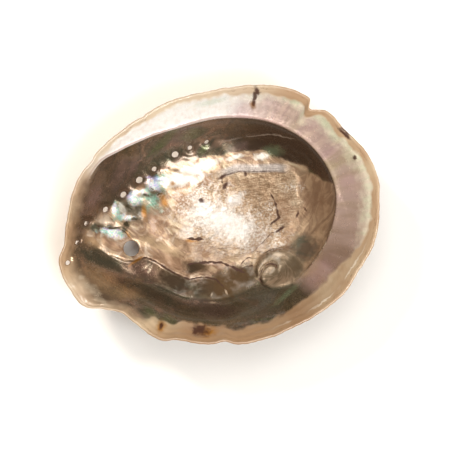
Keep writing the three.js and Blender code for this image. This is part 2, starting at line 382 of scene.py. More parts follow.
def grown(px, py):
    """Age, in radians of coil, and place along the rim that laid the point down, in radians."""
    angles = np.arange(0, 360, 0.5)
    rx, ry = (heading(angles) * rim_reach(angles)[:, None] - TIP).T
    turn, far = np.arctan2(ry, rx), np.hypot(rx, ry)
    order = np.argsort(turn)
    turn, far = turn[order], far[order]
    psi, rho = np.arctan2(py - TIP[1], px - TIP[0]), np.hypot(px - TIP[0], py - TIP[1])
    age, place = np.full(len(px), OLDEST), psi.copy()
    gap_before = np.interp(psi, turn, far, period=2 * np.pi) - rho
    open_still = np.ones(len(px), bool)
    for back in np.arange(AGE_STEP, OLDEST, AGE_STEP):
        gap = np.interp(psi + back, turn, far, period=2 * np.pi) - rho * np.exp(TIGHTNESS * back)
        hit = open_still & (gap <= 0)
        share_of_step = gap_before[hit] / np.maximum(gap_before[hit] - gap[hit], 1e-9)
        age[hit] = np.maximum(back - AGE_STEP + AGE_STEP * share_of_step, 0)
        place[hit] = psi[hit] + age[hit]
        open_still &= ~hit
        gap_before = gap
    return age, place


age, place = grown(x, y)
print("oldest point:", age.max().round(2), "radians of coil")

# %% [markdown]
# ## Lines across the floor
# Ledges and cracks run across the floor where the animal laid new nacre over old. Each is a line
# of a few points. A helper gives every point's distance from such a line, with a sign for its
# side, so that one side can be raised and the other left low.

# %% Distance from a line
def from_line(px, py, line):
    """Signed distance, above 0 on the left of the line's run, and the share of the way along."""
    line = np.array(line, float)
    parts = np.hypot(*np.diff(line, axis=0).T)
    starts = np.concatenate([[0], np.cumsum(parts)])
    best, side, where = np.full(len(px), 1e9), np.ones(len(px)), np.zeros(len(px))
    for (ax, ay), (bx, by), start, length in zip(line, line[1:], starts, parts):
        ux, uy = (bx - ax) / length, (by - ay) / length
        t = np.clip((px - ax) * ux + (py - ay) * uy, 0, length)
        far = np.hypot(px - ax - t * ux, py - ay - t * uy)
        cross = ux * (py - ay) - uy * (px - ax)
        closer = far < best
        best = np.where(closer, far, best)
        side = np.where(closer, np.sign(cross), side)
        where = np.where(closer, (start + t) / starts[-1], where)
    return best * side, where


def ledge(px, py, line, height, reach_back):
    """A step up on the left of a line that sinks back into the floor, and dies at both ends."""
    far, where = from_line(px, py, line)
    step = fade(far, -0.4, 0.4) * np.exp(-np.maximum(far, 0) / reach_back)
    return height * step * window(where, 0, 0.3, 0.88, 1)


# %% [markdown]
# ## The floor: folds, ledges and the muscle scar
# The floor isn't smooth. Folds run in from the newer pores, ledges cross the front half, and the
# middle is the scar where the muscle held on, crumpled like foil. They are added as heights, so
# they catch the light as real relief does, and can be felt in the mesh as well as seen.

# %% Floor relief
BIG_LEDGE = [
    (-73.3, 5.4), (-65, 2.6), (-60.7, -2.8), (-53.5, -8.1), (-49.5, -9.4), (-43.2, -9.1),
    (-38.5, -12.5), (-33.8, -18.1), (-29.8, -21.7), (-24.7, -25.8), (-19.2, -26.1), (-15.7, -27),
    (-11.3, -29.4), (-8.7, -33.5), (-7.8, -36.9),
]
SMALL_LEDGE = [(-23.2, -18.2), (-15.5, -19.3), (-6.8, -21.6), (-0.6, -26.2), (3.5, -29.7)]
CREASE = [
    (-65.5, -22), (-60.8, -19.3), (-54.6, -19.4), (-48.7, -20.3), (-43.1, -22.8), (-35.7, -27.6),
    (-30.1, -32.2), (-16.8, -40.7),
]
SCAR_RIDGE = [(-2, 15.5), (5.1, 20.1), (13.6, 20.9), (21.7, 18.3), (32.5, 15.9), (40, 13)]
CHIP = [(-19.3, -5.7), (-13, -7.6)]
# line, height of the step, how far back it sinks
LEDGES = [
    (BIG_LEDGE, 1.1, 14), (SMALL_LEDGE, 0.6, 7), (CREASE, 0.25, 6), (SCAR_RIDGE, 0.5, 3),
    (CHIP, 0.4, 3),
]
FOLDS = [
    [(-47, 4), (-42.3, 0), (-39.2, -2.8), (-33, -8), (-28, -16), (-26, -21)],
    [(-37, 7), (-31.9, 2.9), (-27.1, -6.1), (-21, -12)],
    [(-41, 13), (-31, 9), (-21.9, 4.5)],
]
SCAR_MIDDLE = (12, 2)
SCAR = [
    (22, 31), (70, 23), (121, 25), (140, 28), (180, 33), (209, 33), (241, 28), (278, 25), (315, 26),
    (345, 27),
]


def scar_share(px, py):
    """1 inside the muscle scar, 0 outside it, with a torn edge."""
    far, degrees = polar(px, py, SCAR_MIDDLE)
    ragged = 3.5 * noise(px / 7, py / 7, 3) + 1.5 * noise(px / 2.5, py / 2.5, 4)
    return fade(around(SCAR, degrees)[0] + ragged - far, -3, 4)


def crumple(px, py):
    """Creased foil: the sharp valleys and soft crowns of folded noise, in three sizes."""
    lean_x, lean_y = px * 0.9 + py * 0.43, -px * 0.43 + py * 0.9
    lean_y = lean_y + 3 * noise(px / 14, py / 14, 5)
    total = 0
    for size, height, seed in ((12, 0.3, 6), (5, 0.16, 7), (2.2, 0.12, 8)):
        total = total + height * (0.6 - abs(noise(lean_x / (2.2 * size), lean_y / size, seed)) * 2)
    return total


def pore_folds(px, py):
    """Valleys that run in from each pore and lobes between them, bolder at the newer pores."""
    total = np.zeros(len(px))
    for k in range(2, 9):
        bold = 0.2 + 0.08 * k
        pore, next_pore = np.array(PORES[k][:2]), np.array(PORES[k + 1][:2])
        wander = 2.2 * noise(px / 6, py / 6, k)
        for middle, height, width in (
            (pore, -1.0, 2.6), ((pore + next_pore) / 2 + (3, -2.5), 1.25, 3)
        ):
            u, v = leaning(px - middle[0] + wander, py - middle[1] + wander, -ROW_LEAN)
            total += bold * height * hump(u - 5, 7.5) * hump(v, width)
    return total


def floor_relief(px, py):
    """Height added to the plain floor, in mm."""
    steps = sum(ledge(px, py, line, height, back) for line, height, back in LEDGES)
    trough = -1.2 * hump(from_line(px, py, BIG_LEDGE)[0] + 9, 6) * fade(px, 5, -15)
    waves = 0.5 * noise(px / 14, py / 14, 9) + 0.2 * noise(px / 6, py / 6, 10)
    streaks = 0
    for line in FOLDS:
        far, where = from_line(px, py, line)
        far = far + 2 * noise(px / 8, py / 8, 17)
        streaks = streaks + 0.7 * hump(far, 3) * window(where, 0, 0.2, 0.6, 1)
    foil = 0.8 * scar_share(px, py) * crumple(px, py)
    return steps + trough + waves + streaks + pore_folds(px, py) + foil


# %% [markdown]
# ## The coil
# At the spire end the shelf's edge winds clockwise and down into the tip of the shell. Seen from
# above it is a raised button with a dark spiral slit. A winding tube would stand apart from the
# floor, so it is made as relief too: a button, a spiral slit, and a dished middle.

# %% Coil relief
COIL, DISH = (17.1, -32.8), (20.6, -33.3)
BUTTON = [
    (5, 14), (20, 13.2), (38, 13.4), (54, 12.3), (88, 9.9), (117, 8.9), (145, 8.3), (171, 7.6),
    (202, 7.5), (242, 7.9), (278, 8.4), (310, 10.1), (336, 13), (350, 14.5),
]
SLIT = [(216, 7.6), (192, 6.8), (168, 5.4), (142, 4.7), (118, 4.3), (75, 4.3), (45, 4.1), (20, 3.2)]


def coil_relief(px, py):
    """Height of the coil over the plain floor, in mm."""
    far, angle = polar(px, py, COIL)
    edge = around(BUTTON, angle)[0]
    open_side = fade(abs((angle + 180) % 360 - 180), 75, 20)
    button = fade(edge - far, -0.9 - 4 * open_side, 0.9 + 2 * open_side)
    turns, reaches = zip(*SLIT[::-1])
    slit_far = far - np.interp(angle, turns, reaches)
    slit_share = window(angle, 12, 45, 195, 222)
    slit = slit_share * hump(slit_far, 0.7)
    lip = slit_share * hump(slit_far + 1.5, 0.8)
    rope = hump(far - 0.8 * edge, 2.4) * window(angle, 40, 90, 250, 340)
    dish = mound(px, py, DISH, 3.2)
    lumps = 0.25 * noise(px / 2, py / 2, 19) * hump(far, 4)
    return button * (2.2 + 0.7 * rope - 0.8 * dish + lumps) - 2.2 * slit + 0.5 * lip


# %% [markdown]
# ## Shelf and rim
# The shelf has faint ripples across it and a rolled inner edge. Near the rim the last growth lines
# stand up as smooth, glossy ridges that run beside it, and a few blisters swell the front end.

# %% Shelf and rim relief
# x, y, width, height
BLISTERS = [
    (72.4, 12.2, 1.3, 0.9), (-62.9, 14, 1.1, 0.8), (-71.7, 7.1, 1.1, 0.8), (-77.8, 0.3, 1.1, 0.8),
    (-75, -6.5, 1.3, 0.6), (-80.5, -14, 1.4, 0.5), (-77, -21.5, 1.5, 0.8), (-70, -25, 2, 0.7),
]


def rim_relief(px, py, degrees, far):
    """Height of the ripples, ridges and blisters of the shelf and the rim, in mm."""
    rim, edge = rim_reach(degrees), around(SECTIONS, degrees)[0]
    inset, past_edge = rim - far, far - edge
    t = np.radians(degrees)
    on_shelf = fade(past_edge, 0, 3)
    ripples = 0.16 * noise(15 * t + 0.05 * far, far / 16, 11) + 0.1 * noise(34 * t, far / 9, 12)
    wander = 0.7 * noise(4 * np.cos(t), 4 * np.sin(t), 13)
    lower_side = fade(np.cos(t + np.radians(75)), -0.5, 0.6)
    second_ridge = lower_side * hump(inset - 5.6 - 1.5 * wander, 1.1)
    ridges = 0.5 * hump(inset - 2.6 - wander, 0.9) + 0.45 * second_ridge
    rolled = 0.35 * hump(past_edge - 0.8, 0.9) * around(SECTIONS, degrees)[2]
    lumps = sum(h * mound(px, py, (bx, by), w) for bx, by, w, h in BLISTERS)
    return on_shelf * (ripples * (0.5 + 0.9 * fade(inset, 5, 10)) + 0.6 * ridges) + rolled + lumps


# %% [markdown]
# ## The back
# Outside, spiral cords and growth steps cross each other, every pore stands on a low cone, and
# sealed pores run on as knobs to the spire. Ribs are cosines of the place along the rim, and
# growth steps are a saw-tooth of the age, which makes both of them coil into the spire by themselves.

# %% Relief of the back
CORDS, GROWTH_STEP = 44, 0.085  # cords round the rim, radians of coil from step to step
OLD_PORES, PORE_TURN = 25, 0.19
SPIRE = (20, -32)


def old_pores():
    """Sealed pores: the row carried on round the spire, each smaller than the last."""
    first = np.array(PORES[0][:2]) - TIP
    rho, psi = np.hypot(*first), math.atan2(first[1], first[0])
    knobs = []
    for k in range(1, OLD_PORES + 1):
        turn = PORE_TURN * k
        size = math.exp(-TIGHTNESS * turn)
        centre = TIP + rho * size * np.array([math.cos(psi - turn), math.sin(psi - turn)])
        knobs.append((*centre, 2.6 * size, 1.5 * size))
    return knobs


def back_relief(px, py, ages, places):
    """How far the back stands out past its plain form, in mm."""
    size = np.exp(-TIGHTNESS * ages)
    cords = np.cos(CORDS * places + 2.5 * noise(px / 20, py / 20, 14))
    step = ages / GROWTH_STEP + 1.1 * noise(3 * places, ages * 2, 15)
    growth = step - np.floor(step)
    fine = noise(ages * 90, places * 6, 16)
    out = size * (0.32 * cords + 0.9 * growth * (1 - fade(growth, 0.86, 1)) + 0.18 * fine)
    for kx, ky, width, height in old_pores():
        out = out + height * mound(px, py, (kx, ky), width)
    for hx, hy, length, *_ in PORES[:-1]:
        out = out + 1.3 * hump(polar(px, py, (hx, hy))[0] - length, 1.7)
    return out + 3 * mound(px, py, SPIRE, 15)


# %% [markdown]
# ## Put the heights together
# Both skins are now worked out over the same plan. Close to a pore the floor dips into a funnel,
# and under the shelf's edge the wall is undercut, which a height alone can't do, so those points
# slide outwards.

# %% Shape both skins
UNDERCUT = 2.2  # mm


def inner_height(px, py):
    """Height of the pearly side in mm, 0 where the rim is highest."""
    far, degrees = polar(px, py)
    inside, _, edge, sharp = sections(degrees)
    height = -along(inside, np.minimum(far, inside[3][0]))
    on_floor = fade(far - edge, 0, -8)
    funnels = -0.9 * sum(mound(px, py, pore[:2], 1.3, pore[2]) for pore in PORES)
    drill_lip = -0.25 * mound(px, py, DRAIN[:2], 0.35, DRAIN[2])
    return (
        height + on_floor * floor_relief(px, py) + coil_relief(px, py) + funnels + drill_lip
        + rim_relief(px, py, degrees, far)
    )


def outer_height(px, py, ages, places):
    """Height of the back in mm, from the same zero."""
    far, degrees = polar(px, py)
    outside = sections(degrees)[1]
    return -along(outside, np.minimum(far, outside[3][0])) - back_relief(px, py, ages, places)


inner = np.stack([x, y, inner_height(x, y)], 1)
outer = np.stack([x, y, outer_height(x, y, age, place)], 1)

inside, _, edge_reach, sharp = sections(direction)
below_edge = inner[:, 2] + inside[2][1]
undercut = UNDERCUT * sharp * fade(reach - edge_reach, 0, -0.6) * fade(below_edge, -17, -3)
inner[:, :2] += heading(direction) * undercut[:, None]
for loop, hole in zip(loops, HOLES):
    outer[loop, :2] += hole[4:]
thickness = inner[:, 2] - outer[:, 2]
print("thickness up and down, mm:", thickness.min().round(2), "to", thickness.max().round(1))

# %% [markdown]
# ## Join the skins into one closed mesh
# The rim gets a rounded nose of a few rings, and each hole gets a wall between its two mouths. The
# result is one watertight body, like the real shell.

# %% Faces of the shell
NOSE = [(40, 0.85), (90, 1.0), (140, 0.85)]  # degrees round the nose, how far it stands out
NOSE_FULLNESS = 1.05
count = len(plan)
faces = [cells[kept], cells[kept][:, ::-1] + count]
points = [inner, outer]
border = np.concatenate([grid[0, :-1], grid[:-1, -1], grid[-1, :0:-1], grid[:0:-1, 0]])
rings = [border]
top, under = inner[border], outer[border]
half = (top[:, 2:] - under[:, 2:]) / 2
next_point = 2 * count
for degrees, push in NOSE:
    ring = (top + under) / 2
    ring[:, 2:] += half * math.cos(math.radians(degrees)) * NOSE_FULLNESS
    ring[:, :2] += heading(direction[border]) * push
    points.append(ring)
    rings.append(np.arange(next_point, next_point + len(border)))
    next_point += len(border)
rings.append(border + count)
for a, b in zip(rings, rings[1:]):
    faces.append(np.stack([a, b, np.roll(b, -1), np.roll(a, -1)], 1))
for loop in loops:
    after = np.roll(loop, -1)
    faces.append(np.stack([after + count, loop + count, loop, after], 1))
points, faces = np.concatenate(points), np.concatenate(faces)

# %% [markdown]
# ## Set it down
# The mesh is moved as the solid was: its lowest point a third of a millimetre below the table, and
# the back worn flat where it stands. Then it becomes a Blender mesh, in metres.

# %% Make the mesh
MM = 1000  # in a metre
solid_middle = np.array(solid_low + solid_high) / 2 * MM
low, high = points.min(0), points.max(0)
points[:, :2] += solid_middle[:2] - (low + high)[:2] / 2
points[:, 2] += solid_high.z * MM - high[2]
is_back = np.zeros(len(points), bool)
is_back[count:2 * count] = True
print("lowest point before the foot is worn, mm:", points[:, 2].min().round(2))
points[is_back, 2] = np.maximum(points[is_back, 2], 0)

shell_mesh = bpy.data.meshes.new("shell")
shell_mesh.from_pydata((points / MM).tolist(), [], faces.tolist())
shell_mesh.validate()
shell_mesh.shade_smooth()
shell = bpy.data.objects.new("abalone_shell", shell_mesh)
bpy.context.scene.collection.objects.link(shell)
used = points[np.unique(faces)]
print("faces:", len(shell_mesh.polygons), " size, mm:", (used.max(0) - used.min(0)).round(1))

# %% [markdown]
# ## Where each finish belongs
# One shell carries many finishes: pearl on the floor and the shelf, a tan rim of bare shell, the
# scar, stains, cracks and the dull back. A weight for each is worked out at every point and kept
# on the mesh, and the material mixes its colours by these weights.

# %% Weights of the finishes
LIP_WIDTH = [
    (0, 3), (20, 3), (31, 3.5), (45, 4.2), (60, 4), (75, 3), (95, 2.6), (120, 2.3), (140, 2.4),
    (150, 2.8), (170, 3.4), (184, 5.8), (192, 7), (198, 5), (205, 2.6), (213, 2.4), (218, 5),
    (221, 8), (228, 8.4), (242, 9.5), (250, 8), (257, 6.5), (272, 7.6), (284, 7.2), (300, 9.3),
    (318, 9.5), (330, 6.8), (338, 4.6), (347, 3.2),
]
t = np.radians(direction)
inset = rim_reach(direction) - reach
lip_edge = around(LIP_WIDTH, direction)[0] * (1 + 0.12 * noise(5 * np.cos(t), 5 * np.sin(t), 20))
lip_gap = lip_edge + 1.1 * noise(x / 5, y / 5, 21) - inset
left_side = fade(np.cos(t), -0.6, -0.9)
on_shelf = fade(reach - edge_reach, -0.4, 0.4) * fade(around(SECTIONS, direction)[2], 0.0, 0.3)
scar = scar_share(x, y) * fade(coil_relief(x, y), 1.2, 0.2)
scar = scar * fade(reach - edge_reach, -8, -14)
print("share of the lip:", (lip_gap > 0).mean().round(2), " of the shelf:", on_shelf.mean().round(2))

# %% [markdown]
# The bright floor ends at the foot of the wall and at the big ledge. The shelf goes from silver at
# one end, painted near white there as a painted highlight, to dusky rose at the other, where it is
# partly painted shade, with a pale band beside the rim. Parts of the wall, under the shelf's edge at
# the upper right and on the upper left, are painted darker as painted shade. All are smooth in direction.

# %% Zones of the pearl
FLOOR_EDGE = [
    (0, 56.8), (8, 51.5), (18, 48.6), (28, 43), (45, 39), (63, 34.5), (82, 32.5), (100, 32.8),
    (117, 36), (133, 39.5), (140, 44), (152, 49), (158, 56), (166, 65), (173, 71), (178, 65),
    (183, 60.8), (189, 54), (192, 47), (198, 42), (208, 40), (226, 36), (240, 31.5), (250, 27),
    (262, 24), (272, 26.5), (281, 32), (291, 45), (307, 52), (325, 53.5), (344, 54.6),
]
PALE_BAND = [
    (0, 7), (15, 7), (30, 7), (42, 7), (50, 5.5), (60, 5), (75, 5), (95, 5), (110, 3), (140, 0),
    (200, 0), (300, 0), (318, 0), (328, 4), (338, 7), (350, 7.5),
]
torn = 1.2 * noise(x / 5, y / 5, 27)
far_big = from_line(x, y, BIG_LEDGE)[0]
floor_gap = np.minimum(around(FLOOR_EDGE, direction)[0] + torn - reach, far_big)
pale_gap = around(PALE_BAND, direction)[0] + torn - inset
edge_gap = reach - edge_reach
turned = (direction + 180) % 360 - 180
# painted shade: the wall under the shelf's edge at the upper right, and part of the upper left wall, are
# painted darker
shade = window(turned, -24, -12, 45, 85) + 0.55 * window(turned, 125, 145, 170, 180)
shade = shade * fade(reach - around(FLOOR_EDGE, direction)[0], -0.5, 1.5) * (1 - on_shelf)
print("share of the bright floor:", (floor_gap > 0).mean().round(2))

# %% [markdown]
# Smaller spots are ovals: a middle, a length, a width and a lean. Kept on the mesh is how far out
# of its oval each point lies, 1 on the edge, and the material draws the edge itself, which keeps it
# finer than the mesh. White marks the bright lobes beside the newer pores as painted highlights, teal
# and violet tint them, and gaps part them. Dim, warm, gold, calm and olive shift the pearl under the
# ledges and in the hollows, and the hollow spots darken it there as painted shade. Scar highlight,
# glint specks and small highlights are painted highlights too.

# %% Bright lobes and dark hollows
FAR_OUT = 3.0  # what is kept where no oval is near


def oval(px, py, spots):
    """How far out of the nearest oval, 1 on its edge: x, y, half length, half width, lean."""
    nearest = np.full(len(px), FAR_OUT)
    for cx, cy, length, width, lean in spots:
        u, v = leaning(px - cx, py - cy, lean)
        nearest = np.minimum(nearest, np.hypot(u / length, v / width))
    return nearest


SPOTS = {
    # painted highlights: bright lobes painted near white
    "white": [
        (-29.5, 25.2, 3.4, 2.6, -30), (-23, 26, 3.4, 2.8, 10), (-40.8, 20.8, 4, 2.8, -50),
        (-51.9, 17.6, 1.3, 4.2, -15), (-47.8, 13.2, 5, 1.5, -18), (-35.5, 23.4, 2.4, 1.4, -30),
        (-56, 7.2, 6.2, 2.2, -26), (-14, 25.6, 8, 3.6, 8), (-1, 28.6, 8, 1.5, 2), (14, 28.4, 5, 1, 0),
        (27, 25.4, 3.2, 1.8, -10), (-7, 22.5, 5, 1.4, 12),
    ],
    # painted highlight: the scar's middle
    "scar_highlight": [(0, -2, 18, 6.5, -38), (9, -8.5, 5, 3.5, 25), (-20, 1, 3, 6, 25), (8, 7.4, 4, 2.4, 20)],
    # painted highlights: white specks of glint, mostly over the scar
    "glint_specks": [
        (-2, 1, 22, 10, -35), (12, -11, 10, 6, 20), (24.4, -2.2, 2.6, 3, 0), (38.3, 6.1, 4, 1.8, -15),
        (25.5, -13.4, 3, 2, 20), (24, -19, 5, 3, 20), (-8, 16, 8, 4, 20),
    ],
    "teal": [
        (-33, 17.6, 5.4, 4, -40), (-51, 13.8, 2.4, 1.4, 0), (-26, 28.6, 3.4, 1.3, 10),
        (-52, 5.6, 3, 0.9, -30), (-26.2, 22.6, 1.2, 3.4, 0), (-50.6, 17.6, 0.6, 3.6, -15),
    ],
    "violet": [(-29, 28.4, 2.8, 1.3, -20), (-28.2, 24, 1, 3, 20), (-42.5, 22.8, 1.5, 1.6, 0)],
    "gap": [
        (-44.6, 16.2, 3.4, 1.7, -45), (-40.4, 15.2, 1.8, 3, -20), (-49, 7.6, 1.6, 3, -20),
        (-27.4, 18.8, 1.6, 2.6, 10), (-34.6, 21.4, 1.8, 0.6, -30), (-42, 11, 3, 0.8, -10),
        (-31, 23.5, 0.5, 1.8, 30), (-54, 9.4, 4, 0.7, -10),
    ],
    "amber": [
        (-26.6, 16.2, 1.7, 3, 0), (-37.8, 13.4, 1.1, 3.8, -10), (-48.5, 4.2, 0.7, 2.2, 10),
        (-20, 23.6, 1.2, 1, 0), (-47.5, -9.4, 3.6, 0.6, 20), (-22.4, -53.4, 4.2, 2.4, -15),
        (-44.3, -45, 2.8, 2, 50), (29.6, 51.4, 1.2, 2, 0), (-18, -6.9, 3, 0.9, -14),
    ],
    "stain": [
        (-25.8, -52.2, 3.8, 2.7, -15), (-44, -44.6, 1.6, 1, 50), (31.2, 54.4, 4.8, 1.1, 66),
        (33.4, 57.6, 1.4, 1.8, 0), (70.6, 24.9, 4.2, 0.8, -57), (72.4, 12.2, 1.2, 1, 0),
        (-8.1, 11.7, 1.7, 0.9, -30), (5.5, 15.8, 0.8, 2, -50), (17.1, 18.9, 0.9, 1.4, 10),
        (5.1, 20.4, 2.4, 0.8, 20), (27.2, -12.9, 2.2, 0.7, 20), (37.4, -7.9, 2, 0.6, 60),
        (41.9, -6.5, 0.4, 1.4, 20),
    ],
    "mint": [
        (50.1, 47.7, 5, 1.3, -30), (63, 32, 6, 2, -50), (33.8, 26.4, 4.5, 2.6, -20),
        (9, 58, 7, 1.2, -3), (66, 24, 3, 2, -40), (21, -46, 7, 1.2, 25),
    ],
    "mauve": [
        (63, 17, 5, 4, 0), (66, 3, 7, 4, 90), (56, 34, 5, 3, -50), (24, 49, 6, 4, 0),
        (17, 33, 5, 2, 0), (-10, 44, 8, 3, 10), (-44, 36, 9, 3, 45), (-36, 38, 5, 2, 50),
        (-15, -45, 9, 3, -12),
        (40, -40, 9, 4, 35), (-60, 27, 6, 3, 60), (-20, -40, 9, 2.4, -20),
    ],
    "olive": [
        (2, -45, 36, 8.5, -3), (-34, -23, 6, 3, -40), (-32, -30, 8, 2, -25), (-27, -44, 12, 3.4, -18),
        (-44, -31, 12, 3.4, -25), (-56, -22.6, 7, 2.4, -8), (-30, -26, 10, 3, -38),
        (-22, -33, 9, 4, -25), (35.2, -24.4, 5.6, 6, 0), (18, -44, 12, 3.4, 12), (4, -31, 6, 5, 0),
        (-20, -20.5, 5, 2, -12), (-39.7, 15.4, 2.4, 2, 0), (10, 33.5, 8, 2.2, 0),
        (-20, 37, 14, 3, 14), (68.5, 14.4, 3.6, 1.8, -10), (-45, 16, 10, 5.4, -35),
        (-60, 10.5, 9, 2.4, -22), (-31, 21, 6, 4.5, -40),
    ],
    # partly painted shade: the olive hollows under the big ledge are painted darker
    "hollow": [(-64.5, -4.2, 12, 4.2, -38), (-47, -25.5, 15, 3.6, -22)],
    "bump": [(-45, -15.8, 9.5, 4, -34)],
    "warm": [(-68, -14.5, 9, 4, -45), (-58, -23.5, 6, 3, -20), (-66, 5, 4, 2, -30)],
    "gold": [(-40, -1, 3, 2, -35), (-31, -8, 6, 1.8, -38)],
    "dim": [
        (-33, 8, 8, 6, -40), (-31, -15.5, 12, 4, -38), (-14, -22.5, 7, 3, -12), (-17.5, 12, 5.5, 4.5, 20),
        (-14, -14.5, 6, 4, -45), (16, -13, 5, 4, 10), (31, -5, 6, 7, 0), (-55, 1, 7, 3.4, -35),
        (-58, 4, 4, 3, -20), (-20, 11, 5, 6, 0), (-12, -17, 4, 3, -20), (-36, 26, 4, 1.6, -40),
        (13, -17.5, 5, 3, 10), (-4, 20, 5, 3, 20), (20, -9, 4, 3, 0), (48, -3, 6, 10, 0),
    ],
    "calm": [
        (-12, -33, 13, 6, -12), (1, -30.5, 7, 4.5, -10), (-20, -20.5, 6, 3, -12), (-32, -25, 10, 4.5, -40),
    ],
    # painted highlights: small cream glints on the floor, the coil, the knobs and the rim
    "small_highlights": [
        (-15.3, -36, 1.2, 0.5, 60), (-8.1, -36.7, 0.4, 1.3, 10), (-15.9, -40.2, 1.8, 0.5, -15),
        (-42.5, -15.4, 2.4, 0.6, 50), (-43.8, -13.7, 2.6, 0.8, 20), (23, -25.2, 3.6, 0.8, -25),
        (21.4, -32, 1.5, 0.7, 60), (12.4, -31, 0.6, 2.6, -20), (10.6, -24, 0.7, 3, -20),
        (-76.4, -10.4, 1.4, 1, 0), (-83, -13, 1, 1, 0), (-70, -24.6, 4, 1.4, -50),
        (-72.5, -18.5, 5, 2, -60),
    ],
}
ovals = {name: oval(x, y, spots) for name, spots in SPOTS.items()}
print("share of the white lobes:", (ovals["white"] < 1).mean().round(3))

# %% [markdown]
# Cracks run along parts of the ledges and through the scar. The mesh keeps the distance from the
# nearest crack and how wide it gapes there, and the material draws it as a thin dark line. The
# coil's slit is drawn the same way, partly as painted shade, and a ring round each pore is painted shade.

# %% Cracks
slit_turns, slit_reach = np.array(SLIT).T
COIL_SLIT = heading(slit_turns) * slit_reach[:, None] + COIL
# line, where along it the crack starts and ends, width
CRACKS = [
    # the coil's slit, drawn dark as a crack: partly its brown, partly painted shade
    (COIL_SLIT, 0.0, 1.0, 0.42),
    (BIG_LEDGE, 0.36, 0.96, 0.42), (SMALL_LEDGE, 0.0, 1.0, 0.75), (CHIP, 0.0, 1.0, 0.95),
    (CREASE, 0.3, 0.75, 0.2), ([(7.7, 20.8), (15.4, 20.5), (23.5, 18.3), (32.8, 16)], 0.0, 0.9, 0.25),
    ([(26.9, 5.3), (28, -0.2), (27.7, -4.4), (27.9, -7), (23, -9.2)], 0.0, 1.0, 0.6),
    ([(27.2, -12.9), (21.7, -14), (15.6, -17.5), (10.5, -20.5)], 0.0, 1.0, 0.25),
    ([(-63, 13), (-56.7, 9.7), (-50.6, 9.2)], 0.0, 1.0, 0.3),
    ([(3, -25), (7, -22.6), (12, -24.4)], 0.0, 1.0, 0.35),
    ([(1, -29), (4.5, -26.6), (9, -27.6)], 0.0, 1.0, 0.3),
    ([(12, -20.8), (16, -22.4), (20, -21.8)], 0.0, 1.0, 0.35),
    ([(5.1, 20.6), (4.4, 17.5), (5.5, 14)], 0.0, 1.0, 0.3),
]
crack_line, crack_width = np.full(len(x), 9.0), np.zeros(len(x))
for line, first, last, width in CRACKS:
    far, where = from_line(x, y, line)
    part = window(where, first - 0.03, first + 0.03, last - 0.03, last + 0.03)
    broken = 0.25 + 0.75 * fade(noise(x / 2.6, y / 2.6, 25), -0.3, 0.1)
    nearer = abs(far) < abs(crack_line)
    crack_line = np.where(nearer, far, crack_line)
    crack_width = np.where(nearer, width * part * broken * fade(abs(far), 2.5, 1.5), crack_width)
# painted shade: the coil's slit, and a ring round each pore where its funnel dips, are painted dark
slit_and_pore_shade = fade(coil_relief(x, y), 1.1, 0.2) * fade(np.hypot(x - COIL[0], y - COIL[1]), 8.5, 7.5)
pore_rims = sum(hump(hole_distance(plan, hole) - 1.2, 0.35) for hole in PORES)
ridge_far, ridge_along = from_line(x, y, SCAR_RIDGE)
band = window(ridge_far, -0.6, 0.4, 3, 5) * window(ridge_along, 0.1, 0.3, 0.85, 1)
PORE_LINE = [(3, 38.8), (13.8, 37.3), (20.5, 37.1), (30.1, 35.4), (36.2, 33.2), (43, 29)]
pore_line, line_along = from_line(x, y, PORE_LINE)
dashes = fade(noise(x / 4, y / 4, 29), -0.5, 0.1) * fade(line_along, 0.1, 0.3)

# %% [markdown]
# The weights go on to the mesh as named attributes. A point on the back has none of the inner
# finishes, and the points of the nose take those of the rim beside them.

# %% Store the weights
FAR = 9.0  # mm, past every line that is drawn from a distance
# partly painted highlight: cream at the lower left of the rim
cream_and_sheen_corner = 0.6 * window(y, -33, -27, -14, -5) * fade(x, -50, -62)
# the values on the pearly side, and the one on the back
on_mesh = {
    "back": (0, 1), "age": (age, age), "place": (place, place), "shelf": (on_shelf, 0),
    "scar": (scar, 0), "coil": (fade(coil_relief(x, y), 0.6, 1.6), 0), "shade": (shade, 0),
    "left": (fade(x, -48, -66), 0), "right_floor": (fade(x, 18, 42) * fade(y, 24, 8), 0),
    "left_floor": (fade(x, -8, -24) * fade(y, 22, 14), 0), "rainbow": (fade(x, -19, -25), 0),
    # painted highlight: the shelf's silver end is painted near white where it mirrors the lamp
    "silver_and_sheen_shelf": (window(turned, 44, 80, 140, 165) * on_shelf, 0),
    # partly painted shade: the shelf is painted darker towards its dusky end
    "dusk": (window(turned, -140, -80, -35, 25), 0), "left_side": (left_side, 0),
    # partly painted highlight: the cream of the rim's upper side
    "cream_and_sheen_rim": (window(turned, 40, 70, 140, 165) + cream_and_sheen_corner, 0),
    "low_rim": (fade(y, -38, -52) * window(turned, -165, -140, -70, -45), 0),
    "gleam_rim": (window(turned, -85, -60, -25, -5), 0),
    "rolled_edge": (window(turned, 20, 50, 140, 165), 0),
    "glint_edge": (window(turned, -55, -45, -18, -8), 0),
    "inset": (inset, 0), "lip_gap": (lip_gap, 1), "edge_gap": (edge_gap, -FAR),
    "floor_gap": (floor_gap, -FAR), "pale_gap": (pale_gap, -FAR),
    "band": (band, 0), "ridge_far": (ridge_far, 0), "pore_line": (pore_line, FAR),
    "dashes": (dashes, 0), "crack_line": (crack_line, FAR), "crack_width": (crack_width, 0),
    "slit_and_pore_shade": (np.maximum(slit_and_pore_shade, 0.5 * pore_rims), 0),
}
on_mesh.update({name: (values, FAR_OUT) for name, values in ovals.items()})
sweep = np.column_stack([60 * heading(direction), 0.22 * reach]) / MM
on_mesh.update({f"sweep_{axis}": (sweep[:, i], sweep[:, i]) for i, axis in enumerate("xyz")})

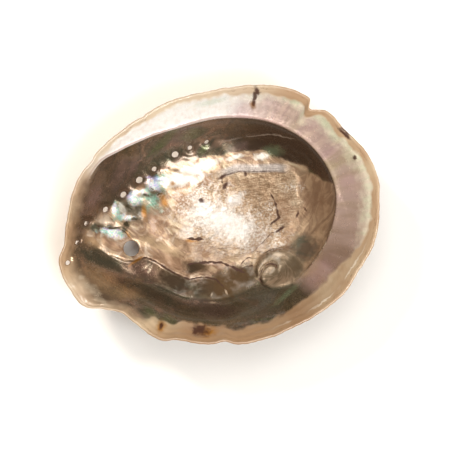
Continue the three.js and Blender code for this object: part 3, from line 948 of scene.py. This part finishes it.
for name, sides in on_mesh.items():
    pearly, crusty = (np.zeros(count) + side for side in sides)
    values = np.concatenate([pearly, crusty, pearly[border], pearly[border], crusty[border]])
    attribute = shell_mesh.attributes.new(name, "FLOAT", "POINT")
    attribute.data.foreach_set("value", values.astype(np.float32))
print("numbers kept at every point:", len(on_mesh))

# %% [markdown]
# ## A small kit for the material
# Every colour is written as the red, green and blue that a paint chart would give, and turned into
# the linear light that Blender mixes. The material needs a few hundred nodes, so one helper adds a
# node and fills its sockets, and the others give the common kinds short names.

# %% Material helpers
finish = bpy.data.materials.new("nacre_and_crust")
finish.use_nodes = True
tree = finish.node_tree
shader = tree.nodes["Principled BSDF"]


def plug(socket, value):
    """Links a node's output to a socket, or sets a plain value on it."""
    if isinstance(value, bpy.types.NodeSocket):
        tree.links.new(value, socket)
    else:
        socket.default_value = value


def node(kind, output, sockets, **settings):
    """Adds a node with its settings and sockets filled in, and returns one of its outputs."""
    made = tree.nodes.new("ShaderNode" + kind)
    for name, value in settings.items():
        setattr(made, name, value)
    for name, value in sockets.items():
        plug(made.inputs[name], value)
    return made.outputs[output]


def weight(name):
    """A number kept on the mesh."""
    return node("Attribute", "Fac", {}, attribute_name=name)


def maths(operation, *values):
    """One sum with one or two numbers."""
    return node("Math", 0, dict(enumerate(values)), operation=operation)


def chain(operation, first, others):
    """The same sum with one number after another."""
    for other in others:
        first = maths(operation, first, other)
    return first


def times(first, *others):
    """The product of two or more numbers."""
    return chain("MULTIPLY", first, others)


def largest(first, *others):
    """The largest of two or more numbers."""
    return chain("MAXIMUM", first, others)


def plus(a, b):
    return maths("ADD", a, b)


def rest(share):
    """What a share leaves of the whole."""
    return maths("SUBTRACT", 1.0, share)


def stretch(value, low=0.3, high=0.7, to_low=0.0, to_high=1.0):
    """Draws one span of numbers out to another. Plain noise lies mostly from 0.3 to 0.7."""
    ends = {"From Min": low, "From Max": high, "To Min": to_low, "To Max": to_high}
    return node("MapRange", "Result", {"Value": value, **ends})


def cloud(where, scale, detail, roughness=0.5, warp=0.0):
    """Soft noise. Scale is how many grains there are to a unit of the places it is read at."""
    look = {"Scale": scale, "Detail": detail, "Roughness": roughness, "Distortion": warp}
    return node("TexNoise", "Fac", {"Vector": where, **look})


# %% [markdown]
# Colours and numbers are laid over each other in the same way: a bottom one, then layers, each
# with the share of the shell that it covers.

# %% Helpers for colours
def paint(red, green, blue):
    """A paint chart's colour, 0 to 255, as linear light."""
    parts = [v / 255 for v in (red, green, blue)]
    linear = [v / 12.92 if v < 0.04045 else ((v + 0.055) / 1.055) ** 2.4 for v in parts]
    return (*linear, 1)


def slide(share_of_b, a, b):
    """Number a turning to number b."""
    return node("Mix", "Result", {"Factor": share_of_b, "A": a, "B": b})


def blend(share_of_b, a, b):
    """Colour a turning to colour b. Each is a node's output or a chart's three numbers."""
    a, b = (paint(*colour) if isinstance(colour, tuple) else colour for colour in (a, b))
    return node("Mix", "Result", {"Factor": share_of_b, "A": a, "B": b}, data_type="RGBA")


def layered(bottom, *layers, mix=blend):
    """Layers from the bottom up, each a share and a colour, or a number with mix=slide."""
    for share, top in layers:
        bottom = mix(share, bottom, top)
    return bottom


def ramp(value, *stops):
    """A colour scale: pairs of a place from 0 to 1 and a chart's colour."""
    scale = node("ValToRGB", "Color", {"Fac": value})
    bar = scale.node.color_ramp.elements
    while len(bar) < len(stops):
        bar.new(0.5)
    for element, (place_on_bar, chart) in zip(bar, stops):
        element.position, element.color = place_on_bar, paint(*chart)
    return scale


# %% [markdown]
# Three sets of places steer the patterns: plain positions in the shell, positions along its
# growth, where the age runs one way and the place along the rim the other, and positions that
# barely change from the shelf's edge to the rim, which draws the noise out into rays.

# %% Places for the patterns
position = node("TexCoord", "Object", {})
growth_lines = node("CombineXYZ", 0, {"X": times(weight("age"), 6.0), "Y": times(weight("place"), 1.6)})
across_shelf = node("CombineXYZ", 0, {axis: weight("sweep_" + axis.lower()) for axis in "XYZ"})

# %% [markdown]
# ## Edges drawn by the material
# A distance kept at the points runs evenly between them, so a line or an edge cut from it is as
# crisp as the view needs. Noise is added to the distance first, which frays the edge.

# %% Edges, lines and strokes
LINE_BLUR = 0.15  # mm
fray = stretch(cloud(position, 330.0, 4, 0.6), 0.3, 0.7, -1.0, 1.0)


def frayed(name, ragged):
    """A kept distance, made uneven by noise."""
    return plus(weight(name), times(fray, ragged))


def inside_of(name, soft, ragged):
    """1 where a kept distance, in mm, is above 0."""
    return stretch(frayed(name, ragged), -soft, soft)


def spot(name, soft, ragged=0.3):
    """1 inside the ovals of one list."""
    return stretch(frayed(name, ragged), 1 + soft, 1 - soft)


def stripe(name, middle, half_width, ragged=0.1):
    """1 on a thin line at one value of a kept distance, in mm."""
    far = maths("ABSOLUTE", maths("SUBTRACT", frayed(name, ragged), middle))
    return stretch(far, half_width + LINE_BLUR, half_width - LINE_BLUR)


def brushed(turn, length, width, detail, warp):
    """Noise drawn out in strokes, in mm, that run along one direction in plan."""
    drawn = {"Rotation": (0, 0, math.radians(turn)), "Scale": (length / 1000, width / 1000, 0.02)}
    strokes_at = node("Mapping", "Vector", {"Vector": position, **drawn}, vector_type="TEXTURE")
    return stretch(cloud(strokes_at, 1.0, detail, 0.6, warp))


# %% [markdown]
# ## Pearl
# Nacre is clear plates over a dark or a silver ground. What is seen is a mirror-like sheen tinted
# by the plates' thickness. Here the tint is a colour scale read by stretched noise, with one scale
# for each zone: smoky on the walls, gold on the floor, rose and silver on the shelf. Over the floor's
# left half a swirl of noise paints pale highlights and brown shade, with no relief under them, and
# the right half is plainer.

# %% Pearl of the walls and the floor
drift = stretch(cloud(growth_lines, 0.9, 3, 0.5, 0.6))
streaks = stretch(cloud(growth_lines, 5.0, 4, 0.5, 0.3))
flecks = stretch(cloud(position, 300.0, 4, 0.6, 0.4))
clouds = stretch(cloud(position, 38.0, 2, 0.45, 0.7))
hue = slide(0.4, clouds, drift)
on_shelf, left_floor = weight("shelf"), weight("left_floor")
floor = slide(weight("left"), inside_of("floor_gap", 0.6, 0.5), inside_of("floor_gap", 3.0, 1.0))
floor = times(floor, rest(on_shelf))

smoky = layered(
    ramp(
        hue, (0.15, (98, 88, 58)), (0.35, (136, 112, 86)), (0.48, (112, 98, 82)),
        (0.6, (146, 118, 98)), (0.72, (108, 96, 80)), (0.86, (102, 104, 72)),
    ),
    (times(weight("left"), 0.3), (168, 130, 94)),
    # painted shade on the walls
    (weight("shade"), (84, 64, 48)),
)
strokes, right_strokes = brushed(-50, 13, 5, 2.0, 1.8), brushed(50, 12, 5.5, 2.0, 1.6)
swirl = cloud(position, 110.0, 2, 0.5, 1.5)
floor_pearl = layered(
    ramp(
        slide(0.5, strokes, clouds), (0.15, (136, 104, 78)), (0.38, (184, 152, 120)),
        (0.52, (158, 126, 104)), (0.68, (208, 178, 144)), (0.88, (236, 216, 182)),
    ),
    (weight("right_floor"), ramp(
        right_strokes, (0.2, (152, 122, 96)), (0.5, (178, 146, 116)), (0.8, (204, 172, 138)),
    )),
    # painted highlights and painted shade that swirl over the left of the floor
    (times(left_floor, stretch(swirl, 0.52, 0.66, 0.0, 0.7)), (240, 220, 196)),
    (times(left_floor, stretch(swirl, 0.46, 0.34, 0.0, 0.6)), (126, 98, 74)),
)

# %% [markdown]
# The scar is a mat of fine brown fibres of pearl, with a sparkling middle painted near white as a
# painted highlight. The coil is olive and tan, and an olive pearl lies in the shade round it.

# %% Pearl of the scar and the coil
fibres = brushed(-8, 5, 1.1, 4.0, 1.6)
scar_pearl = ramp(
    slide(0.48, slide(0.5, clouds, flecks), fibres), (0.2, (132, 104, 76)),
    (0.42, (160, 130, 100)), (0.6, (194, 166, 136)), (0.85, (228, 208, 180)),
)
# painted highlight: the scar's middle is painted near white
scar_pearl = blend(times(spot("scar_highlight", 0.7, 0.6), 0.9), scar_pearl, (238, 232, 226))
coil_pearl = ramp(hue, (0.25, (124, 100, 74)), (0.5, (186, 160, 132)), (0.75, (130, 112, 88)))
olive_pearl = ramp(
    hue, (0.2, (86, 76, 54)), (0.45, (106, 94, 72)), (0.6, (96, 92, 74)), (0.8, (122, 102, 82)),
)

# %% [markdown]
# Fine rays run across the shelf. It is silver at one end, painted near white there as a painted
# highlight, and rose, then dusky, at the other, where the darker colour is partly painted shade, with
# a cream band beside the rim and a darker line along its rolled inner edge.

# %% Pearl of the shelf
rays_fine = stretch(cloud(across_shelf, 150.0, 3, 0.5, 0.2), 0.25, 0.75)
rays_broad = stretch(cloud(across_shelf, 36.0, 2, 0.5, 0.5))
ray_hue = slide(0.35, rays_broad, rays_fine)
rose_pearl = ramp(
    ray_hue, (0.15, (216, 182, 154)), (0.34, (236, 210, 188)), (0.48, (214, 184, 174)),
    (0.6, (240, 210, 192)), (0.74, (212, 190, 158)), (0.88, (234, 212, 190)),
)
# partly painted shade: the darker rose of the shelf's dusky end
dusky_pearl = layered(
    ramp(ray_hue, (0.3, (184, 152, 130)), (0.5, (210, 180, 166)), (0.7, (172, 142, 122))),
    (stretch(clouds, 0.5, 0.8, 0.0, 0.6), (204, 170, 136)),
)
pale_pearl = ramp(
    rays_fine, (0.2, (250, 234, 204)), (0.4, (255, 244, 216)), (0.55, (240, 238, 206)),
    (0.7, (255, 242, 216)), (0.85, (246, 222, 202)),
)
pale = times(inside_of("pale_gap", 3.2, 1.6), on_shelf, 0.85)
shelf_pearl = layered(
    rose_pearl,
    (weight("dusk"), dusky_pearl),
    (pale, pale_pearl),
    # painted highlight: near white over the shelf's silver end
    (times(weight("silver_and_sheen_shelf"), stretch(flecks, 0.25, 0.55, 0.75, 1.0)), (255, 252, 247)),
    (times(stripe("edge_gap", 0.9, 0.5), weight("rolled_edge"), 0.7), (186, 150, 140)),
)

# %% [markdown]
# The zones are laid over each other, and then the spots that darken, warm or calm them. The calm
# patch is the smooth brown pearl in the shade between the big ledge and the coil.

# %% Lay the zones over each other
low_side = rest(floor)
ridge_bands = stretch(cloud(weight("ridge_far"), 2.2, 2), 0.35, 0.65)
calm_pearl = blend(left_floor, (104, 76, 48), (62, 42, 28))
pearl = layered(
    smoky,
    (floor, floor_pearl),
    (weight("scar"), scar_pearl),
    (spot("olive", 0.35, 0.25), olive_pearl),
    (weight("coil"), coil_pearl),
    (on_shelf, shelf_pearl),
    (times(weight("band"), 0.85), ramp(
        ridge_bands, (0.2, (146, 136, 130)), (0.5, (184, 174, 168)), (0.8, (206, 196, 190)),
    )),
    (times(spot("mauve", 0.5), slide(on_shelf, 0.14, 0.34)), (206, 164, 168)),
    (times(spot("mint", 0.5), 0.32), (160, 184, 142)),
    # partly painted shade: the hollows under the big ledge
    (times(spot("hollow", 0.3, 0.2), low_side), blend(0.5, olive_pearl, (88, 78, 60))),
    (times(spot("bump", 0.5, 0.3), low_side), (118, 90, 74)),
    (times(spot("warm", 0.7, 0.4), 0.6), (206, 168, 124)),
    (times(spot("dim", 0.8, 0.4), 0.6), (140, 104, 76)),
    (times(spot("gold", 0.8, 0.5), 0.7), (226, 196, 156)),
    (spot("calm", 0.5, 0.4), blend(0.75, olive_pearl, calm_pearl)),
)

# %% [markdown]
# The bright lobes beside the pores are painted highlights: rainbow colours beside the newer pores,
# plain white further on. Dark gaps part them, and the finest marks go on last: the scar's painted
# glints, the dashed line that runs on from the pores, and the glint on the wall's upper edge.

# %% Lobes and fine marks
# painted highlights: the white lobes and the scar's middle
white, scar_highlight = spot("white", 0.35, 0.4), spot("scar_highlight", 0.5, 0.4)
patchy = stretch(flecks, 0.2, 0.6, 0.25, 1.0)
grit = stretch(cloud(position, 900.0, 2), 0.4, 0.6)
rainbow = ramp(
    stretch(cloud(position, 260.0, 2, 0.5, 1.2)), (0.1, (168, 206, 196)), (0.3, (252, 248, 232)),
    (0.42, (186, 180, 224)), (0.52, (254, 250, 246)), (0.66, (160, 224, 214)),
    (0.78, (250, 236, 196)), (0.9, (244, 200, 204)),
)
plain_white = ramp(strokes, (0.2, (232, 218, 200)), (0.45, (254, 250, 240)))
glint = times(stripe("edge_gap", 0.2, 0.3, 0.5), weight("glint_edge"), stretch(flecks, 0.4, 0.7))
pearl = layered(
    pearl,
    (white, blend(weight("rainbow"), plain_white, rainbow)),
    (times(spot("teal", 0.5, 0.7), patchy, 0.75), (120, 172, 150)),
    (times(spot("violet", 0.5, 0.7), patchy, 0.7), (150, 146, 204)),
    (spot("gap", 0.4, 0.8), (74, 64, 44)),
    # painted highlights: white glint specks
    (times(spot("glint_specks", 0.8, 0.6), stretch(grit, 0.35, 0.9, 0.0, 0.6)), (250, 243, 232)),
    (times(stripe("pore_line", 0.0, 0.2, 0.3), weight("dashes"), 0.5), (206, 190, 176)),
    (glint, (240, 222, 196)),
)

# %% [markdown]
# ## Rim, stains and back
# The bare rim is smooth and tan, darker at the lower side, with a thin brown line near its edge
# and a painted highlight along its ridge; the cream at its upper side is partly a painted highlight.
# Stains are iron brown with an amber halo, cracks thin and as dark.

# %% Rim, cracks and stains
lip = slide(weight("left_side"), inside_of("lip_gap", 0.7, 0.35), inside_of("lip_gap", 3.2, 0.6))
# painted highlight along the rim's ridge
gleam = times(stripe("inset", 3.0, 0.35, 0.5), weight("gleam_rim"), stretch(clouds, 0.35, 0.6), 0.8)
rim_tan = layered(
    ramp(
        slide(0.15, clouds, streaks), (0.15, (190, 154, 120)), (0.5, (202, 172, 138)),
        (0.85, (216, 192, 158)),
    ),
    (times(weight("low_rim"), 0.8), (166, 128, 92)),
    # partly painted highlight: cream on the rim's upper side
    (times(weight("cream_and_sheen_rim"), 0.5), (238, 222, 198)),
    (gleam, (252, 236, 212)),
    (times(stripe("inset", 1.1, 0.1, 0.5), stretch(flecks, 0.45, 0.7), 0.6), (120, 84, 56)),
)
crack_far = maths("ABSOLUTE", frayed("crack_line", 0.4))
cracks_and_shade = stretch(maths("SUBTRACT", weight("crack_width"), crack_far), -0.1, 0.15)
# painted shade of the slit and the pore rims joins the cracks' dark
cracks_and_shade = largest(cracks_and_shade, weight("slit_and_pore_shade"))
stain = spot("stain", 0.4, 0.5)

# %% [markdown]
# The back is a dull crust in bands of brick red, olive and cream that follow the growth lines, as
# the animal's food changed, with the tubes of worms and lichen as pale, limy flecks.

# %% Colours of the back, and all of them together
lime = stretch(cloud(position, 90.0, 6, 0.7, 0.3), 0.55, 0.68)
bands = stretch(cloud(growth_lines, 2.2, 3, 0.6, 0.2))
crust = ramp(
    bands, (0.15, (92, 58, 44)), (0.35, (134, 84, 62)), (0.5, (112, 102, 74)), (0.62, (158, 112, 86)),
    (0.8, (186, 166, 138)),
)
colour = layered(
    pearl,
    (lip, rim_tan),
    # painted highlights: small cream glints
    (times(spot("small_highlights", 0.4, 0.6), 0.6), (226, 204, 176)),
    (times(spot("amber", 0.6, 0.4), 0.92), (164, 108, 28)),
    (times(stain, 0.94), (72, 36, 20)),
    (times(cracks_and_shade, 0.92), (70, 38, 24)),
    (weight("back"), blend(times(lime, 0.65), crust, (206, 196, 176))),
)
plug(shader.inputs["Base Color"], colour)

# %% [markdown]
# ## Gloss and fine relief
# Pearl reflects like a soft metal under a clear coat, the rim is only glossy, and the crust is
# matt. Each value starts with the walls' and changes from zone to zone. The calm patch has no
# coat, which would mirror the room and pale it.

# %% Gloss
dull = largest(weight("back"), times(stain, 0.6), cracks_and_shade)
# the painted highlights and the pale band get almost no metal, so their painted white shows
shiny = largest(white, weight("silver_and_sheen_shelf"), pale, times(scar_highlight, 0.6))
calm = spot("calm", 0.4)
metal = layered(
    0.66, (floor, slide(left_floor, 0.45, 0.38)), (on_shelf, 0.4), (shiny, 0.04), (calm, 0.76),
    mix=slide,
)
wall_roughness = plus(slide(floor, 0.2, 0.3), times(flecks, 0.1))
roughness = layered(
    wall_roughness, (times(spot("dim", 0.8, 0.4), 0.6), 0.5), (calm, 0.7), (weight("coil"), 0.2),
    (lip, 0.25), (dull, 0.72), mix=slide,
)
coat = layered(0.6, (floor, slide(left_floor, 0.5, 0.3)), (calm, 0.0), mix=slide)
plug(shader.inputs["Metallic"], times(rest(largest(lip, dull)), metal))
plug(shader.inputs["Roughness"], roughness)
plug(shader.inputs["Coat Weight"], times(rest(dull), coat))
plug(shader.inputs["Coat Roughness"], 0.08)

# %% [markdown]
# Relief too fine for the mesh is a bump. It adds up growth lines everywhere but on the rim,
# strokes on the floor, fibres and sparkle in the scar and grain on the back, each with its height
# in millimetres.

# %% Bump
scar_here = weight("scar")
height = times(cloud(growth_lines, 22.0, 3, 0.6), rest(lip), 0.12 / 1000)
for pattern, where, millimetres in (
    (cloud(position, 420.0, 4, 0.65, 0.8), scar_here, 0.5), (fibres, scar_here, 0.1),
    (strokes, floor, 0.1), (cloud(position, 700.0, 5, 0.7), weight("back"), 0.9),
):
    height = plus(height, times(pattern, where, millimetres / 1000))
plug(shader.inputs["Normal"], node("Bump", "Normal", {"Distance": 1.0, "Strength": 1.0, "Height": height}))
shell_mesh.materials.append(finish)
print("nodes in the material:", len(tree.nodes))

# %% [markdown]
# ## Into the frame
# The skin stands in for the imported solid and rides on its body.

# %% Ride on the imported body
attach(shell, "root")
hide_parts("shell")

# %% [markdown]
# ## Floor, light and camera
# The shell lies on a pale, matt floor, which shows nothing but a soft shadow.

# %% Floor
FLOOR_HALF = 3.0
corners = [(FLOOR_HALF * cx, FLOOR_HALF * cy, 0) for cx, cy in ((-1, -1), (1, -1), (1, 1), (-1, 1))]
floor_mesh = bpy.data.meshes.new("floor")
floor_mesh.from_pydata(corners, [], [(0, 1, 2, 3)])
paper_floor = bpy.data.objects.new("floor", floor_mesh)
bpy.context.scene.collection.objects.link(paper_floor)
paper = bpy.data.materials.new("pale_floor")
paper.use_nodes = True
paper_shader = paper.node_tree.nodes["Principled BSDF"]
paper_shader.inputs["Base Color"].default_value = (0.88, 0.88, 0.87, 1)
paper_shader.inputs["Roughness"].default_value = 0.9
floor_mesh.materials.append(paper)

# %% [markdown]
# Pearl shows what it mirrors, so the lamps are large and the room is dim: the walls of the bowl
# then go dark, as they do indoors. The main lamp stands high on the lower right and a second one
# beyond the far side. The ground below a shell is dark, and would make the pores black, so a third,
# low lamp brightens it. It is linked to the floor alone and gives the shell no light.

# %% Lights
MOUTH = Vector((0, 0, 0.03))


def lamp(name, turn, rise, distance, size, watts, tint):
    """A square soft light aimed at the shell. Turn is measured from +X, rise from the floor."""
    light = bpy.data.lights.new(name, "AREA")
    light.size, light.energy, light.color = size, watts, tint
    holder = bpy.data.objects.new(name, light)
    t, r = math.radians(turn), math.radians(rise)
    way = Vector((math.cos(t) * math.cos(r), math.sin(t) * math.cos(r), math.sin(r)))
    holder.location = MOUTH + way * distance
    holder.rotation_euler = way.to_track_quat("Z", "Y").to_euler()
    bpy.context.scene.collection.objects.link(holder)
    return holder


lamp("key", 300, 66, 2.0, 0.9, 30.5, (1.0, 0.98, 0.95))
lamp("top", 65, 73, 2.0, 1.0, 17, (1.0, 0.97, 0.93))
low = lamp("low", 116, 46, 1.2, 0.25, 13, (1.0, 0.86, 0.72))
table_only = bpy.data.collections.new("table_only")
table_only.objects.link(paper_floor)
low.light_linking.receiver_collection = table_only
world = bpy.data.worlds.new("dim_room")
bpy.context.scene.world = world
world.use_nodes = True
surroundings = world.node_tree.nodes["Background"].inputs
surroundings["Color"].default_value = (0.36, 0.32, 0.27, 1)
surroundings["Strength"].default_value = 0.5
bpy.context.scene.view_settings.view_transform = "Standard"

# %% [markdown]
# The camera looks straight down into the shell, turned so that the spire end rises to the right.

# %% Camera
AZIMUTH, ELEVATION, DISTANCE = -15, 89.8, 3.0
FIELD, SENSOR = 0.2275, 36  # width of the view at the shell in metres, and of the sensor in mm
aim = Vector((0.0027, -0.0035, 0.035))
a, e = math.radians(AZIMUTH), math.radians(ELEVATION)
back = Vector((math.sin(a) * math.cos(e), -math.cos(a) * math.cos(e), math.sin(e)))
camera_data = bpy.data.cameras.new("camera")
camera_data.sensor_width = SENSOR
camera_data.lens = SENSOR * DISTANCE / FIELD
camera = bpy.data.objects.new("camera", camera_data)
camera.location = aim + back * DISTANCE
camera.rotation_mode = "QUATERNION"
camera.rotation_quaternion = (-back).to_track_quat("-Z", "Y")
bpy.context.scene.collection.objects.link(camera)
bpy.context.scene.camera = camera
